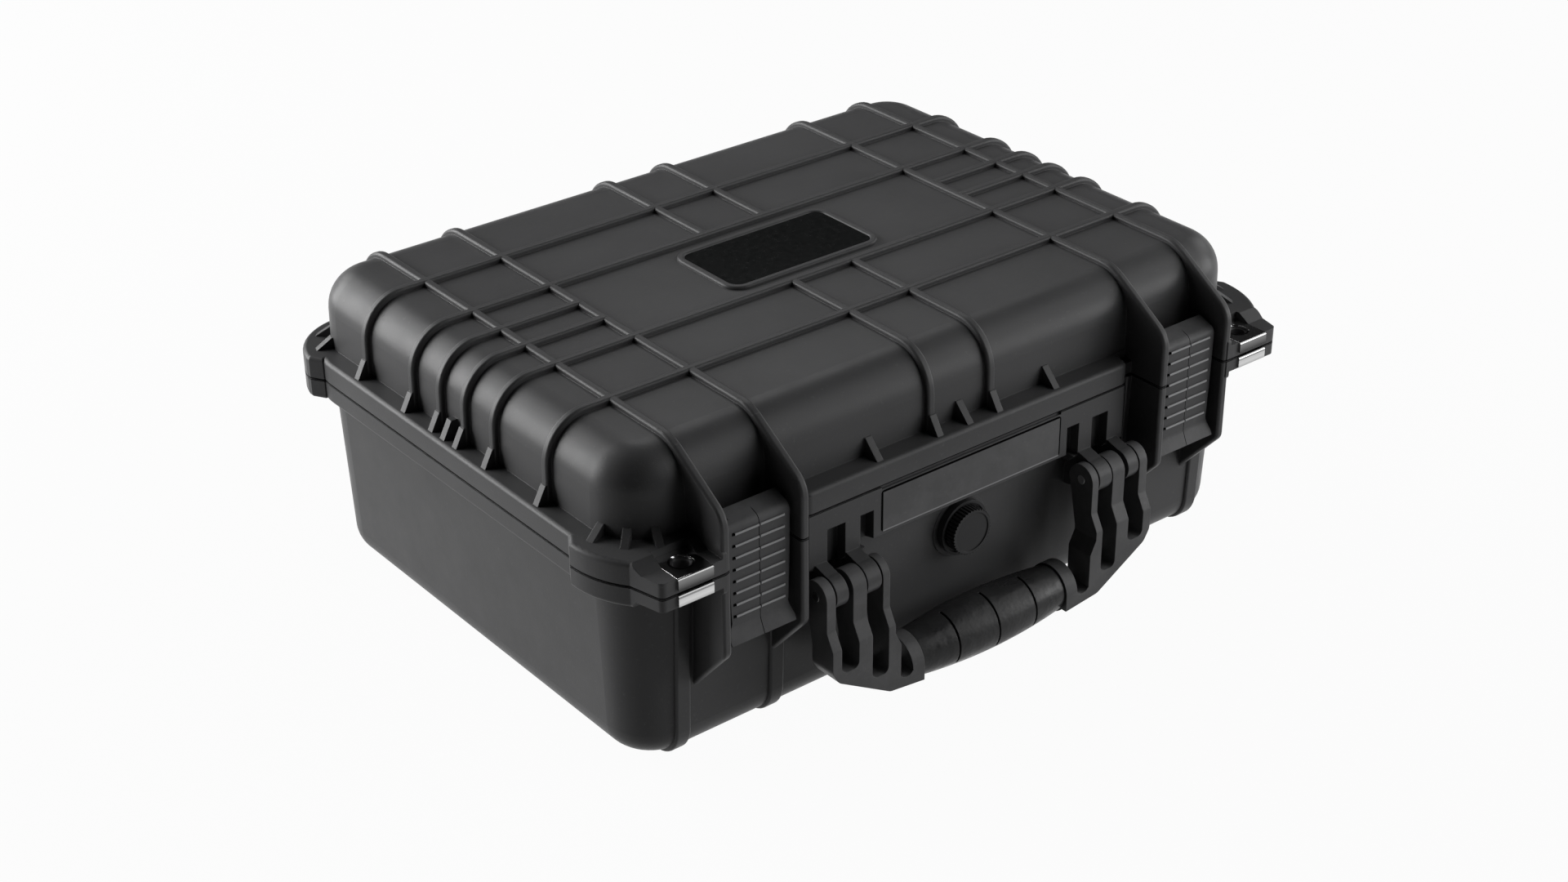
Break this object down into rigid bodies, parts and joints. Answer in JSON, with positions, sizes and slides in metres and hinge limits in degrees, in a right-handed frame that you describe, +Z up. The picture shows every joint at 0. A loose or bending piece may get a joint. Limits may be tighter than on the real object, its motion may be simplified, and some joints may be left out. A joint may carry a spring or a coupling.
{
  "type": "laptop hard case",
  "caption": "Moulded hard case with a ribbed lid on rear hinges, over-centre latches, padlock ears, folding handle, purge valve and fitted foam for a laptop.",
  "frame": {"origin": "centre of the flat pad under the base, on the surface the closed case stands on", "axes": "+X along the front of the case, towards the right-hand latch seen from the front; +Y from the latches towards the hinges; +Z up, through the lid"},
  "size_m": [0.436, 0.3441, 0.172],
  "materials": {
    "shell_plastic": "matte",
    "latch_plastic": "satin",
    "handle_plastic": "satin",
    "grip_rubber": "satin",
    "valve_plastic": "satin",
    "name_plate_plastic": "satin",
    "label_plastic": "gloss",
    "steel": "satin",
    "seal_rubber": "matte",
    "foam": "matte"
  },
  "bodies": {
    "base": {"base_shell": "shell_plastic", "base_foam_pad": "foam", "base_foam_tray": "foam", "left_base_lock_plate": "steel", "right_base_lock_plate": "steel", "name_plate": "name_plate_plastic", "valve_body": "valve_plastic", "valve_seal_ring": "seal_rubber", "valve_nut": "valve_plastic", "handle_pins": "steel", "hinge_pins": "steel"},
    "lid": {"lid_shell": "shell_plastic", "lid_seal": "seal_rubber", "lid_foam": "foam", "lid_label_plate": "label_plastic", "left_lid_lock_plate": "steel", "right_lid_lock_plate": "steel", "left_latch_pivot_pins": "steel", "right_latch_pivot_pins": "steel"},
    "left_latch": {"left_latch_lever": "latch_plastic", "left_claw_pin": "steel"},
    "right_latch": {"right_latch_lever": "latch_plastic", "right_claw_pin": "steel"},
    "left_claw": {"left_latch_claw": "latch_plastic"},
    "right_claw": {"right_latch_claw": "latch_plastic"},
    "handle": {"handle_frame": "handle_plastic", "handle_grip": "grip_rubber"},
    "valve": {"valve_knob": "valve_plastic"}
  },
  "joints": [
    {"name": "lid_hinge", "type": "hinge", "parent": "base", "child": "lid", "pos_m": [0, 0.1585, 0.1162], "axis": [-1, 0, 0], "range_deg": [0, 105]},
    {"name": "left_latch_pivot", "type": "hinge", "parent": "lid", "child": "left_latch", "pos_m": [-0.1427, -0.1585, 0.1265], "axis": [-1, 0, 0], "range_deg": [0, 80]},
    {"name": "right_latch_pivot", "type": "hinge", "parent": "lid", "child": "right_latch", "pos_m": [0.1427, -0.1585, 0.1265], "axis": [-1, 0, 0], "range_deg": [0, 80]},
    {"name": "left_claw_pivot", "type": "hinge", "parent": "left_latch", "child": "left_claw", "pos_m": [-0.1427, -0.1593, 0.1308], "axis": [-1, 0, 0], "range_deg": [-64, 0]},
    {"name": "right_claw_pivot", "type": "hinge", "parent": "right_latch", "child": "right_claw", "pos_m": [0.1427, -0.1593, 0.1308], "axis": [-1, 0, 0], "range_deg": [-64, 0]},
    {"name": "handle_swing", "type": "hinge", "parent": "base", "child": "handle", "pos_m": [0, -0.1638, 0.0765], "axis": [-1, 0, 0], "range_deg": [0, 95]},
    {"name": "valve_turn", "type": "hinge", "parent": "base", "child": "valve", "pos_m": [0, -0.156, 0.0678], "axis": [0, -1, 0], "range_deg": [0, 270]}
  ],
  "couplings": [
    {"joint": "left_claw_pivot", "follows": "left_latch_pivot", "ratio": -0.8},
    {"joint": "right_claw_pivot", "follows": "right_latch_pivot", "ratio": -0.8}
  ]
}
